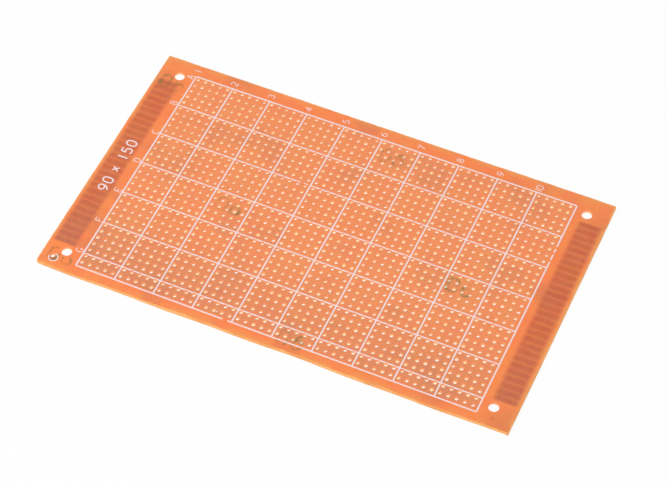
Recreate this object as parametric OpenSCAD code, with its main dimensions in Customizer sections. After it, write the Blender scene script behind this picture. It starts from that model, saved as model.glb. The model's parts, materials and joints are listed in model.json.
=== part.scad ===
// Prototype board: a punched phenolic sheet with a field of lead holes on a standard
// pitch, a bare copper ring round every hole underneath, a comb of copper fingers along
// each short edge, and a white printed grid on the component side.
//
// Frame: X runs along the board, Y across it towards the first lettered row, and Z up
// from the plane that the copper rests on. The origin is the middle of that plane.
// All sizes are in millimetres.

/* [Sheet] */
// Length of the sheet, along X
board_l = 150; // [100:0.5:200]
// Width of the sheet, along Y
board_w = 90; // [60:0.5:120]
// Thickness of the phenolic sheet
sheet_t = 1; // [0.8:0.1:2.4]
// Corner radii: front left, front right, back right, back left
corner_r = [1.2, 0.3, 0.5, 0.4]; // [0.2:0.1:3]

/* [Lead holes] */
// Distance from one lead hole to the next, both ways
pitch = 2.54; // [2:0.01:3.1]
// Diameter of a lead hole, through the sheet and its copper ring
lead_d = 1.2; // [0.8:0.05:1.5]
// Least width left free of holes at each short edge
end_margin = 11.4; // [10.5:0.1:20]
// Least width left free of holes at each long edge
side_margin = 4.2; // [3.5:0.1:12]

/* [Mounting and tooling holes] */
// Diameter of the four corner mounting holes
mount_d = 3.2; // [2.2:0.1:4]
// From a short edge to the centre of a mounting hole
mount_in_x = 7; // [5:0.1:8]
// From a long edge to the centre of a mounting hole
mount_in_y = 7; // [5:0.1:12]
// How far the four holes are punched off the middle of the sheet: along X, along Y
mount_shift = [-0.1, 0.25]; // [-0.5:0.05:0.5]
// Diameter of the tooling hole in the front left corner
tooling_d = 1.5; // [1:0.1:2]
// From the left edge to the centre of the tooling hole
tooling_in_x = 3.75; // [2.5:0.05:4.5]
// From the front edge to the centre of the tooling hole
tooling_in_y = 4.35; // [2.5:0.05:4.5]

/* [Copper] */
// Thickness of the copper foil
foil_t = 0.035; // [0.018:0.001:0.105]
// Outer diameter of the ring round a lead hole
pad_d = 2; // [1.7:0.05:2.2]
// Length of an edge finger, along X
finger_l = 7; // [4:0.1:7.5]
// Width of an edge finger, along Y
finger_w = 1.7; // [1:0.05:1.9]
// Gap between a short edge and its fingers
finger_edge = 1.25; // [0.5:0.05:2]
// Least gap between the comb and a mounting hole
finger_gap = 1; // [0.5:0.1:3]
// Diameter of the registration dot in the front right corner
dot_d = 1; // [0.5:0.1:1.5]
// From the right edge to the centre of the registration dot
dot_in_x = 5.9; // [3:0.1:7]
// From the front edge to the centre of the registration dot
dot_in_y = 3.5; // [2:0.1:3.8]

/* [Print] */
// Thickness of the printed ink
ink_t = 0.02; // [0.01:0.005:0.05]
// Width of a printed grid line
line_w = 0.5; // [0.2:0.05:0.6]
// Holes across one printed square
square_holes = 5; // [2:1:10]
// How far the print sits off the holes: along X, along Y
print_shift = [0.25, -0.65]; // [-0.8:0.05:0.8]
// How much farther out the border is printed at the back and on the right
border_out = 0.25; // [0:0.05:0.3]
// Outer diameter of the printed ring round the tooling hole
ring_d = 3.1; // [2.6:0.1:4]
// Width of the printed ring's line
ring_w = 0.35; // [0.2:0.05:0.4]
// How far the ring is printed off the tooling hole: along X, along Y
ring_shift = [0.55, -0.65]; // [-0.8:0.05:0.8]

/* [Hidden] */
// Steps round a circle
$fn = 24;
// Extra depth of a cut past a face
over = 1;

// Holes along and across the field, as many as the margins allow
hole_cols = floor((board_l - 2 * end_margin) / pitch);
hole_rows = floor((board_w - 2 * side_margin) / pitch);
field_l = hole_cols * pitch;
field_w = hole_rows * pitch;

// Heights of the sheet's two faces
sheet_z = foil_t;
top_z = sheet_z + sheet_t;

// Lettered rows of squares, counted from the back; the last one takes the rows left over
bands = ceil(hole_rows / square_holes);

// Fingers that fit between the two mounting holes of a short edge
comb_room = board_w - 2 * (mount_in_y + abs(mount_shift[1]) + finger_gap) - mount_d;
fingers = floor((comb_room + pitch - finger_w) / pitch);

function band_name(band) = str("pads_row_", chr(97 + band));

// Centre of a hole of the field; row 0 is at the back
function hole_x(col) = (col + 0.5) * pitch - field_l / 2;
function hole_y(row) = field_w / 2 - (row + 0.5) * pitch;

// Places of the printed lines across a field of a number of holes, in pitches
function line_steps(holes) = concat(
    [for (step = [0 : square_holes : holes]) step],
    holes % square_holes == 0 ? [] : [holes]
);
function line_x(step) =
    step * pitch - field_l / 2 + print_shift[0] + (step == hole_cols ? border_out : 0);
function line_y(step) =
    field_w / 2 - step * pitch + print_shift[1] + (step == 0 ? border_out : 0);

// Whether the holes of a row cut into any line printed along X
function row_meets_line(row) = len([
    for (step = line_steps(hole_rows))
        if (abs(line_y(step) - hole_y(row)) < (line_w + lead_d) / 2) step
]) > 0;

// Whether the holes of a column cut into any line printed along Y
function col_meets_line(col) = len([
    for (step = line_steps(hole_cols))
        if (abs(line_x(step) - hole_x(col)) < (line_w + lead_d) / 2) step
]) > 0;

// A circle for every column of one row of the field
module hole_row(row, d) {
    for (col = [0 : hole_cols - 1])
        translate([hole_x(col), hole_y(row)]) circle(d = d);
}

// A circle for every row of one column of the field
module hole_column(col, d) {
    for (row = [0 : hole_rows - 1])
        translate([hole_x(col), hole_y(row)]) circle(d = d);
}

// Where the tooling hole goes
module at_tooling_hole() {
    translate([tooling_in_x - board_l / 2, tooling_in_y - board_w / 2]) children();
}

// What is trimmed off a square corner to round it; the corner is at the origin and the
// sheet lies on its +X +Y side
module corner_waste(r) {
    difference() {
        translate([-over, -over]) square(r + over);
        translate([r, r]) circle(r = r);
    }
}

// The waste at all four corners, in the order of corner_r
module corner_wastes() {
    for (corner = [0 : 3]) {
        right = corner == 1 || corner == 2;
        back = corner > 1;
        translate([(right ? 1 : -1) * board_l / 2, (back ? 1 : -1) * board_w / 2])
            mirror([right ? 1 : 0, 0])
                mirror([0, back ? 1 : 0])
                    corner_waste(corner_r[corner]);
    }
}

// The four mounting holes
module mounting_holes() {
    translate(mount_shift)
        for (side = [-1, 1], end = [-1, 1])
            translate([end * (board_l / 2 - mount_in_x), side * (board_w / 2 - mount_in_y)])
                circle(d = mount_d);
}

// The punched sheet: one outline, less its corners and every hole
module laminate() {
    color([0.96, 0.56, 0.34])
        translate([0, 0, sheet_z])
            linear_extrude(sheet_t)
                difference() {
                    square([board_l, board_w], center = true);
                    corner_wastes();
                    mounting_holes();
                    at_tooling_hole() circle(d = tooling_d);
                    for (row = [0 : hole_rows - 1])
                        union() hole_row(row, lead_d);
                }
}

// The copper rings of one lettered row of squares
module pads(band) {
    last = band == bands - 1 ? hole_rows - 1 : (band + 1) * square_holes - 1;
    color([0.8, 0.47, 0.3])
        linear_extrude(foil_t)
            for (row = [band * square_holes : last], col = [0 : hole_cols - 1])
                translate([hole_x(col), hole_y(row)])
                    difference() {
                        circle(d = pad_d);
                        circle(d = lead_d);
                    }
}

// The comb of copper fingers along a short edge; end is -1 at the left and 1 at the right
module comb(end) {
    finger_x = end * (board_l / 2 - finger_edge - finger_l / 2);
    color([0.8, 0.47, 0.3])
        linear_extrude(foil_t)
            for (finger = [0 : fingers - 1])
                translate([finger_x, (finger - (fingers - 1) / 2) * pitch])
                    square([finger_l, finger_w], center = true);
}

// The small copper dot that lines the punching tool up with the copper
module registration_dot() {
    color([0.8, 0.47, 0.3])
        translate([board_l / 2 - dot_in_x, dot_in_y - board_w / 2])
            cylinder(h = foil_t, d = dot_d);
}

// The printed grid: lines along and across the field, broken where a hole cuts them
module grid_print() {
    outer_l = field_l + border_out + line_w;
    outer_w = field_w + border_out + line_w;
    color([0.96, 0.9, 0.88])
        translate([0, 0, top_z])
            linear_extrude(ink_t)
                difference() {
                    union() {
                        for (step = line_steps(hole_cols))
                            translate([line_x(step), print_shift[1] + border_out / 2])
                                square([line_w, outer_w], center = true);
                        for (step = line_steps(hole_rows))
                            translate([print_shift[0] + border_out / 2, line_y(step)])
                                square([outer_l, line_w], center = true);
                    }
                    for (row = [0 : hole_rows - 1])
                        if (row_meets_line(row)) hole_row(row, lead_d);
                    for (col = [0 : hole_cols - 1])
                        if (col_meets_line(col)) hole_column(col, lead_d);
                }
}

// The printed ring round the tooling hole, which cuts it where the two don't line up
module ring_print() {
    color([0.96, 0.9, 0.88])
        translate([0, 0, top_z])
            linear_extrude(ink_t)
                at_tooling_hole()
                    difference() {
                        translate(ring_shift) circle(d = ring_d);
                        translate(ring_shift) circle(d = ring_d - 2 * ring_w);
                        circle(d = tooling_d);
                    }
}

laminate();
for (band = [0 : bands - 1])
    pads(band);
comb(-1);  // fingers_left
comb(1);  // fingers_right
registration_dot();
grid_print();
ring_print();
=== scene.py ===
"""Builds the looks of a punched phenolic prototype board around its packed frame."""

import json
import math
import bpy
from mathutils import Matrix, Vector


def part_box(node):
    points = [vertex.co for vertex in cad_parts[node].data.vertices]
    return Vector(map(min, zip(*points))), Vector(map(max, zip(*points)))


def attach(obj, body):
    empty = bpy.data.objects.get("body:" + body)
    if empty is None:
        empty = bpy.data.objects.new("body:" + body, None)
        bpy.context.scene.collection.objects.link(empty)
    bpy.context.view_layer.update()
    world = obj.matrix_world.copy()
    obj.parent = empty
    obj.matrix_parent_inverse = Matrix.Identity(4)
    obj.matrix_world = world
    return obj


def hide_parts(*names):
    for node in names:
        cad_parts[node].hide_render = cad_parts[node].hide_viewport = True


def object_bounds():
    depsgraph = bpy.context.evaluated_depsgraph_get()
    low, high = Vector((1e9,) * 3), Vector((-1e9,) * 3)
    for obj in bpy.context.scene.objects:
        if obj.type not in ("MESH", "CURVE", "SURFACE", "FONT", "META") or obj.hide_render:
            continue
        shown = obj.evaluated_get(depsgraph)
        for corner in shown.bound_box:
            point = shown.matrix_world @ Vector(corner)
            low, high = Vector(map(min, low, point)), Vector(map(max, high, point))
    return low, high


bl_info = {
    "name": "Prototype Board",
    "version": (1, 0, 0),
    "blender": (4, 5, 0),
    "location": "3D View > Sidebar > Board",
    "description": "Builds a punched, copper-backed and printed prototype board",
    "category": "Mesh",
}

import bpy
from bpy.props import FloatProperty, FloatVectorProperty, PointerProperty
from mathutils import Matrix, Vector, noise

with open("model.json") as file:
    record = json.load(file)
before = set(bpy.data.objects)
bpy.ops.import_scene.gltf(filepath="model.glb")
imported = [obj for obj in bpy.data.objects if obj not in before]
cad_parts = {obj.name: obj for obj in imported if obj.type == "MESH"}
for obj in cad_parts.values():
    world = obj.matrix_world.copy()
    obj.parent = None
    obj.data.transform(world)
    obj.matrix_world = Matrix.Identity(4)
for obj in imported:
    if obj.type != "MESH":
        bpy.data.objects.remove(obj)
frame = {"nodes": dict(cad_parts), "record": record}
CAD_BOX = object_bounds()

MM = 0.001
BODY = "root"

# What the frame says about the board, in metres
MOUNTS = {mount["name"]: mount for mount in frame["record"]["mounts"]}
SHEET_LOW, SHEET_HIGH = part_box("laminate")
PRINT_LOW, PRINT_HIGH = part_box("grid_print")
RING_LOW, RING_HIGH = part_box("ring_print")
DOT_LOW, DOT_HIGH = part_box("registration_dot")
COMB_LOW, COMB_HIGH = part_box("fingers_left")
BANDS = sorted(name for name in frame["nodes"] if name.startswith("pads_row_"))
PADS_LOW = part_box(BANDS[-1])[0]
PADS_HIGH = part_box(BANDS[0])[1]

# The hole field: the pitch is the standard one of electronic parts
PITCH = 2.54 * MM
LEAD_RADIUS = MOUNTS["lead_hole_field"]["dims"]["hole_r_mm"] * MM
COLUMNS = int((PADS_HIGH.x - PADS_LOW.x) / PITCH) + 1
ROWS = int((PADS_HIGH.y - PADS_LOW.y) / PITCH) + 1
PAD_RADIUS = (PADS_HIGH.x - PADS_LOW.x - (COLUMNS - 1) * PITCH) / 2
FIELD_SIZE = Vector((COLUMNS * PITCH, ROWS * PITCH, 0))
FIELD_CENTRE = Vector((0, (PADS_LOW.y + PADS_HIGH.y) / 2, 0))
FIELD_LOW = FIELD_CENTRE - FIELD_SIZE / 2

# The corner holes, the tooling hole and the printed marks. The frame has no mount for the tooling
# hole, so its radius and its place from the front left corner are given here, as in the CAD.
CORNER_HOLES = MOUNTS["corner_holes"]["dims"]
MOUNT_RADIUS = CORNER_HOLES["hole_r_mm"] * MM
MOUNT_SPACING = (CORNER_HOLES["spacing_x_mm"] * MM, CORNER_HOLES["spacing_y_mm"] * MM)
MOUNT_CENTRE = Vector((*MOUNTS["corner_holes"]["pos_m"][:2], 0))
TOOLING_RADIUS = 0.75 * MM
TOOLING_INSET = Vector((3.75, 4.35)) * MM
TOOLING_CENTRE = Vector((*(SHEET_LOW.xy + TOOLING_INSET), 0))
RING_CENTRE = Vector(((RING_LOW.x + RING_HIGH.x) / 2, (RING_LOW.y + RING_HIGH.y) / 2, 0))
RING_LINE = 0.35 * MM
STAMP_DEPTH = 0.004 * MM
SQUARE_HOLES = 5
SQUARE = SQUARE_HOLES * PITCH

# Points round each kind of hole
LEAD_SEGMENTS = 16
MOUNT_SEGMENTS = 56
TOOLING_SEGMENTS = 32

# Points closer together than this are one
WELD = 0.002 * MM


def paint(red, green, blue):
    """A colour as a screen shows it, 0 to 255, turned into the light values that Blender uses."""
    return tuple(
        value / 255 / 12.92 if value / 255 <= 0.04045 else ((value / 255 + 0.055) / 1.055) ** 2.4
        for value in (red, green, blue)
    )


# ---------------------------------------------------------------- settings


def length(name, description, millimetres):
    """A size that a user may change, in millimetres here and in metres in the scene."""
    facts = {"name": name, "description": description, "unit": "LENGTH"}
    return FloatProperty(default=millimetres * MM, min=0, precision=5, **facts)


def shade(name, description, red, green, blue):
    """A colour that a user may change."""
    facts = {"name": name, "description": description, "subtype": "COLOR"}
    return FloatVectorProperty(default=paint(red, green, blue), min=0, max=1, **facts)


def share(name, description, part):
    """A part of a whole, 0 to 1, that a user may change."""
    facts = {"name": name, "description": description, "subtype": "FACTOR"}
    return FloatProperty(default=part, min=0, max=1, **facts)


def angle(name, description, degrees):
    """An angle that a user may change."""
    facts = {"name": name, "description": description, "subtype": "ANGLE"}
    return FloatProperty(default=math.radians(degrees), **facts)


class SheetSettings(bpy.types.PropertyGroup):
    """Sizes and colours of the phenolic sheet."""

    corner_radii: FloatVectorProperty(
        name="Corner radii",
        description="Corner radii: front left, front right, back right, back left",
        default=(1.2 * MM, 0.3 * MM, 0.5 * MM, 0.4 * MM),
        size=4,
        precision=5,
        unit="LENGTH",
    )
    rim_width: length("Rim width", "How far a punched hole's edge is rounded over", 0.05)
    rim_depth: length("Rim depth", "How deep a punched hole's edge is rounded over", 0.06)
    shear_wave: length("Shear wave", "How far the sheared front edge wanders inwards", 0.75)
    chip_width: length("Chip width", "Widest chip along the sheared top edge", 0.55)
    chip_depth: length("Chip depth", "Deepest chip along the sheared top edge", 0.3)
    face_colour: shade("Face colour", "Varnished face of the sheet", 255, 134, 66)
    cloud_colour: shade("Cloud colour", "Large golden clouds in the resin", 244, 146, 78)
    patch_colour: shade("Patch colour", "Small ruddy patches in the resin", 252, 122, 74)
    dull_colour: shade("Dull colour", "Darker, browner patches in the resin", 214, 116, 74)
    dim_colour: shade("Dim colour", "Resin of the field towards the front", 162, 106, 92)
    # Painted light: a glow along the edges, where light comes through the thin sheet
    edge_glow_colour: shade("Golden colour", "Thinly soaked resin along the edges", 240, 160, 84)
    # Painted light: the glow of the lead holes spread through the field
    hole_glow_colour: shade("Veil colour", "Daylight in the resin round the lead holes", 226, 168, 130)
    # Painted shade over the copper that lies under the sheet
    copper_shadow_tint: shade("Copper tint", "Sheet with copper showing through from below", 186, 78, 46)
    # Also used for the painted light round the lead holes
    bruise_and_glow_colour: shade("Bruise colour", "Pale edge where the sheet was sheared", 242, 176, 104)
    edge_colour: shade("Edge colour", "Sheared outer wall of the sheet", 224, 150, 78)
    wall_colour: shade("Wall colour", "Smooth upper part of a punched wall", 232, 147, 102)
    # Partly painted light: the pale foot of a punched wall
    fibre_and_light_colour: shade("Fibre colour", "Torn fibres low on a punched wall", 237, 207, 160)
    # Darker face inside the printed ring
    ring_inside_colour: shade("Stain colour", "Varnish stained inside the printed ring", 150, 96, 62)
    underside_colour: shade("Underside colour", "Bare sheet between the copper", 214, 128, 72)
    wall_glow: share("Wall glow", "Light that soaks through the sheet into a punched wall", 0.46)


class CopperSettings(bpy.types.PropertyGroup):
    """Sizes and colours of the copper."""

    etch_slope: length("Etch slope", "How far the etched edge leans in", 0.03)
    finger_corner: length("Finger corner", "Corner radius of an edge finger", 0.2)
    finger_width: length("Finger width", "Width of an edge finger, across the comb", 1.7)
    copper_colour: shade("Copper colour", "Bare copper", 236, 160, 118)
    tarnish_colour: shade("Tarnish colour", "Copper darkened under old flux", 176, 96, 62)


class PrintSettings(bpy.types.PropertyGroup):
    """Sizes and colours of the print."""

    line_width: length("Line width", "Width of a printed grid line", 0.5)
    character_width: length("Character line", "Line width of letters and numbers", 0.26)
    letter_height: length("Letter height", "Height of the row letters", 2.15)
    number_height: length("Number height", "Height of the column numbers", 2.15)
    size_height: length("Size height", "Height of the size figures", 3.2)
    size_line: length("Size line", "Line width of the size figures", 0.5)
    stamp_height: length("Stamp height", "Height of the figures stamped on the raw sheet", 5.0)
    stamp_line: length("Stamp line", "Line width of the stamped figures", 1.2)
    ink_colour: shade("Ink colour", "White marking ink over the orange sheet", 250, 226, 226)
    stamp_colour: shade("Stamp colour", "Faded sheet stamp", 120, 134, 70)


class StageSettings(bpy.types.PropertyGroup):
    """Camera, floor and lights."""

    azimuth: angle("Azimuth", "Camera turned round the board", 23.555)
    elevation: angle("Elevation", "Camera above the horizon", 52.179)
    roll: angle("Roll", "Camera turned about its own axis", 0.437)
    aim: FloatVectorProperty(
        name="Aim",
        description="The point that the camera looks at, from the board's middle",
        default=(2.59 * MM, -2.53 * MM),
        size=2,
        precision=5,
        unit="LENGTH",
    )
    distance: length("Distance", "From the camera to the point it looks at", 720.98)
    focal_length: FloatProperty(
        name="Focal length",
        description="Length of the lens, in millimetres",
        default=131.08,
        min=1,
        unit="CAMERA",
    )
    sky_level: share("Sky level", "Light from all round", 0.62)
    softbox_level: share("Softbox level", "Light from the softbox", 0.36)
    floor_glow: share("Floor whiteness", "How far the floor is shown as plain white", 0.92)
    filtered_colour: shade("Filtered colour", "Floor lit through the sheet", 253, 242, 206)


# ---------------------------------------------------------------- node trees


class Nodes:
    """Writes nodes into a tree. A value is a number, a colour or the socket it comes from."""

    def __init__(self, tree):
        self.tree = tree

    def feed(self, socket, value):
        """Links a socket to another, or sets its value."""
        if isinstance(value, bpy.types.NodeSocket):
            self.tree.links.new(value, socket)
        else:
            socket.default_value = value

    def add(self, kind, feeds=None, **settings):
        """Writes a node: its settings, and what goes into its sockets."""
        node = self.tree.nodes.new(kind)
        for name, value in settings.items():
            setattr(node, name, value)
        for name, value in (feeds or {}).items():
            self.feed(node.inputs[name], value)
        return node

    def make(self, kind, feeds=None, **settings):
        """Writes a node and returns its first output."""
        return self.add(kind, feeds, **settings).outputs[0]

    def math(self, operation, *values, clamp=False):
        settings = {"operation": operation, "use_clamp": clamp}
        return self.make("ShaderNodeMath", dict(enumerate(values)), **settings)

    def plus(self, first, second):
        return self.math("ADD", first, second)

    def minus(self, first, second):
        return self.math("SUBTRACT", first, second)

    def times(self, first, second):
        return self.math("MULTIPLY", first, second)

    def over(self, first, second):
        return self.math("DIVIDE", first, second)

    def stretch(self, value, factor, offset):
        """A value times a factor, plus an offset."""
        return self.math("MULTIPLY_ADD", value, factor, offset)

    def vector(self, operation, *values):
        node = self.add("ShaderNodeVectorMath", dict(enumerate(values)), operation=operation)
        return node.outputs["Value" if operation in ("LENGTH", "DISTANCE") else "Vector"]

    def scale(self, vector, factor):
        feeds = {"Vector": vector, "Scale": factor}
        return self.make("ShaderNodeVectorMath", feeds, operation="SCALE")

    def split(self, vector):
        return self.add("ShaderNodeSeparateXYZ", {"Vector": vector}).outputs[:]

    def combine(self, x, y, z):
        return self.make("ShaderNodeCombineXYZ", {"X": x, "Y": y, "Z": z})

    def ramp(self, value, low, high, to_low=0.0, to_high=1.0):
        """Eases from one value to another as the input goes from low to high."""
        feeds = {"Value": value, "From Min": low, "From Max": high}
        feeds.update({"To Min": to_low, "To Max": to_high})
        return self.make("ShaderNodeMapRange", feeds, interpolation_type="SMOOTHSTEP")

    def noise(self, vector, scale, detail=2.0, roughness=0.5):
        feeds = {"Vector": vector, "Scale": scale, "Detail": detail, "Roughness": roughness}
        return self.add("ShaderNodeTexNoise", feeds, noise_dimensions="3D").outputs["Fac"]

    def mix(self, factor, first, second):
        """Mixes two colours."""
        node = self.add("ShaderNodeMix", data_type="RGBA", blend_type="MIX")
        for index, value in ((0, factor), (6, first), (7, second)):
            if not isinstance(value, bpy.types.NodeSocket) and index > 0:
                value = (*value[:3], 1)
            self.feed(node.inputs[index], value)
        return node.outputs[2]

    def blend(self, factor, first, second):
        """Mixes two shaders."""
        return self.make("ShaderNodeMixShader", {0: factor, 1: first, 2: second})

    def bump(self, height, strength, distance):
        """The surface's direction as a height bends it."""
        feeds = {"Height": height, "Strength": strength, "Distance": distance}
        return self.make("ShaderNodeBump", feeds)

    def dress(self, shader, looks):
        """Feeds a shader's sockets by their names."""
        for name, value in looks.items():
            self.feed(shader.inputs[name], value)

    def join(self, *geometries):
        node = self.add("GeometryNodeJoinGeometry")
        for geometry in reversed(geometries):
            self.tree.links.new(geometry, node.inputs[0])
        return node.outputs[0]

    def place(self):
        """Where each point of the geometry lies."""
        return self.make("GeometryNodeInputPosition")

    def move(self, geometry, **feeds):
        """Moves the points of a geometry, by an Offset or to a Position."""
        return self.make("GeometryNodeSetPosition", {"Geometry": geometry, **feeds})

    def shift(self, geometry, offset):
        feeds = {"Geometry": geometry, "Translation": offset}
        return self.make("GeometryNodeTransform", feeds)

    def lift(self, geometry, height):
        return self.shift(geometry, self.combine(0.0, 0.0, height))

    def weld(self, geometry, distance):
        """Merges points that lie closer together than the distance."""
        feeds = {"Geometry": geometry, "Distance": distance}
        return self.make("GeometryNodeMergeByDistance", feeds)

    def realize(self, geometry):
        return self.make("GeometryNodeRealizeInstances", {"Geometry": geometry})

    def flip(self, mesh):
        return self.make("GeometryNodeFlipFaces", {"Mesh": mesh})

    def scatter(self, points, instance):
        """Puts a real copy of the instance on every point."""
        feeds = {"Points": points, "Instance": instance}
        return self.realize(self.make("GeometryNodeInstanceOnPoints", feeds))

    def lattice(self, spacing_x, spacing_y, columns, rows):
        """Points on a rectangular lattice round the origin."""
        feeds = {
            "Size X": self.times(spacing_x, self.minus(columns, 1)),
            "Size Y": self.times(spacing_y, self.minus(rows, 1)),
            "Vertices X": columns,
            "Vertices Y": rows,
        }
        return self.make("GeometryNodeMeshGrid", feeds)

    def circle(self, segments, radius):
        feeds = {"Resolution": segments, "Radius": radius}
        return self.make("GeometryNodeCurvePrimitiveCircle", feeds)

    def rectangle(self, width, height):
        feeds = {"Width": width, "Height": height}
        return self.make("GeometryNodeCurvePrimitiveQuadrilateral", feeds)

    def fill(self, *curves):
        """A flat face inside the first curve, less what the others enclose."""
        return self.make("GeometryNodeFillCurve", {"Curve": self.join(*curves)})

    def coat(self, geometry, material):
        feeds = {"Geometry": geometry, "Material": material}
        return self.make("GeometryNodeSetMaterial", feeds)

    def smooth(self, mesh):
        return self.make("GeometryNodeSetShadeSmooth", {"Geometry": mesh})


def socket_label(name):
    """The label of a tree's input: rim_width is shown as Rim width."""
    return name.replace("_", " ").capitalize()


def geometry_tree(name, **inputs):
    """A geometry node tree with a mesh input and named inputs.

    Returns its nodes, its inputs and its output. A word in place of a size stands for a material.
    """
    tree = bpy.data.node_groups.new(name, "GeometryNodeTree")
    kinds = {float: "Float", int: "Int", Vector: "Vector", str: "Material"}
    new_socket = tree.interface.new_socket
    new_socket("Geometry", in_out="INPUT", socket_type="NodeSocketGeometry")
    for label, value in inputs.items():
        kind = "NodeSocket" + kinds[type(value)]
        socket = new_socket(socket_label(label), in_out="INPUT", socket_type=kind)
        if not isinstance(value, str):
            socket.default_value = value
    new_socket("Geometry", in_out="OUTPUT", socket_type="NodeSocketGeometry")
    nodes = Nodes(tree)
    sockets = nodes.add("NodeGroupInput").outputs
    return nodes, sockets, nodes.add("NodeGroupOutput").inputs[0]


def add_object(name, data):
    """A new object in the scene."""
    thing = bpy.data.objects.new(name, data)
    bpy.context.scene.collection.objects.link(thing)
    return thing


def grow(name, tree, base=None, **values):
    """Runs a geometry node tree on a base mesh and keeps the result as a plain mesh piece."""
    piece = add_object(name, base or bpy.data.meshes.new(name))
    modifier = piece.modifiers.new(name, "NODES")
    modifier.node_group = tree
    sockets = [item for item in tree.interface.items_tree if item.in_out == "INPUT"]
    named = {socket.name: socket.identifier for socket in sockets}
    for label, value in values.items():
        modifier[named[socket_label(label)]] = value
    graph = bpy.context.evaluated_depsgraph_get()
    mesh = bpy.data.meshes.new_from_object(piece.evaluated_get(graph), depsgraph=graph)
    piece.modifiers.remove(modifier)
    piece.data = mesh
    mesh.name = name
    empty = [index for index, material in enumerate(mesh.materials) if material is None]
    for index in reversed(empty):
        mesh.materials.pop(index=index)
    return piece


def seat(piece, slot, *nodes):
    """Hands a finished piece to the frame: it rides on the board and stands for the named nodes."""
    if not piece.data.polygons:
        raise RuntimeError(f"{piece.name} has no faces")
    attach(piece, BODY)
    if nodes:
        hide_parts(*nodes)


def shared_tree(name, builder):
    """A node tree that several pieces use, made once."""
    return bpy.data.node_groups.get(name) or builder()


# ---------------------------------------------------------------- materials


def shader_group(name, inputs, outputs):
    """A shader node group; returns its nodes, its input sockets and its output sockets."""
    tree = bpy.data.node_groups.new(name, "ShaderNodeTree")
    for label, kind in inputs.items():
        tree.interface.new_socket(label, in_out="INPUT", socket_type="NodeSocket" + kind)
    for label in outputs:
        tree.interface.new_socket(label, in_out="OUTPUT", socket_type="NodeSocketFloat")
    nodes = Nodes(tree)
    return nodes, nodes.add("NodeGroupInput").outputs, nodes.add("NodeGroupOutput").inputs


def hole_lattice_group():
    """Millimetres from the nearest lead hole's centre, and a chance value for each hole."""
    nodes, given, result = shader_group(
        "Hole Lattice", {"Millimetres": "Vector"}, ["Distance", "Chance", "In Field"]
    )
    pitch = PITCH / MM
    start = nodes.vector("SUBTRACT", given["Millimetres"], FIELD_LOW / MM)
    x, y, _ = nodes.split(nodes.scale(start, 1 / pitch))
    columns, rows = nodes.math("FLOOR", x), nodes.math("FLOOR", y)
    across = nodes.minus(nodes.minus(x, columns), 0.5)
    along = nodes.minus(nodes.minus(y, rows), 0.5)
    offset = nodes.vector("LENGTH", nodes.combine(across, along, 0.0))
    in_columns = nodes.math("COMPARE", x, COLUMNS / 2, COLUMNS / 2)
    in_rows = nodes.math("COMPARE", y, ROWS / 2, ROWS / 2)
    inside = nodes.times(in_columns, in_rows)
    outside = nodes.times(nodes.minus(1.0, inside), pitch)
    nodes.feed(result["Distance"], nodes.plus(nodes.times(offset, pitch), outside))
    cell = nodes.combine(columns, rows, 0.0)
    chance = nodes.add("ShaderNodeTexWhiteNoise", {"Vector": cell}, noise_dimensions="3D")
    nodes.feed(result["Chance"], chance.outputs["Value"])
    nodes.feed(result["In Field"], inside)
    return nodes.tree


def paper_grain_group():
    """The look of resin-soaked paper: clouds, patches, mottles and fine fibres, each 0 to 1."""
    nodes, given, result = shader_group(
        "Paper Grain", {"Millimetres": "Vector"}, ["Cloud", "Patch", "Mottle", "Fibre"]
    )
    place = given["Millimetres"]
    stretched = nodes.vector("MULTIPLY", place, (0.25, 2.2, 2.2))
    # Each kind of grain: where, its scale, detail and roughness, and the noise that gives 0 and 1
    kinds = {
        "Patch": (place, 0.16, 2.0, 0.5, 0.35, 0.7),
        "Cloud": (place, 0.035, 3.0, 0.5, 0.3, 0.7),
        "Mottle": (place, 0.45, 5.0, 0.6, 0.3, 0.7),
        "Fibre": (stretched, 1.1, 4.0, 0.65, 0.32, 0.68),
    }
    for name, (where, scale, detail, roughness, low, high) in kinds.items():
        grain = nodes.noise(where, scale, detail, roughness)
        nodes.feed(result[name], nodes.ramp(grain, low, high))
    return nodes.tree


def soft_stripe(nodes, value, half_width, blur):
    """1 where a value is within half a width of zero, easing to 0 over the blur."""
    return nodes.ramp(nodes.math("ABSOLUTE", value), half_width + blur, half_width - blur)


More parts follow.
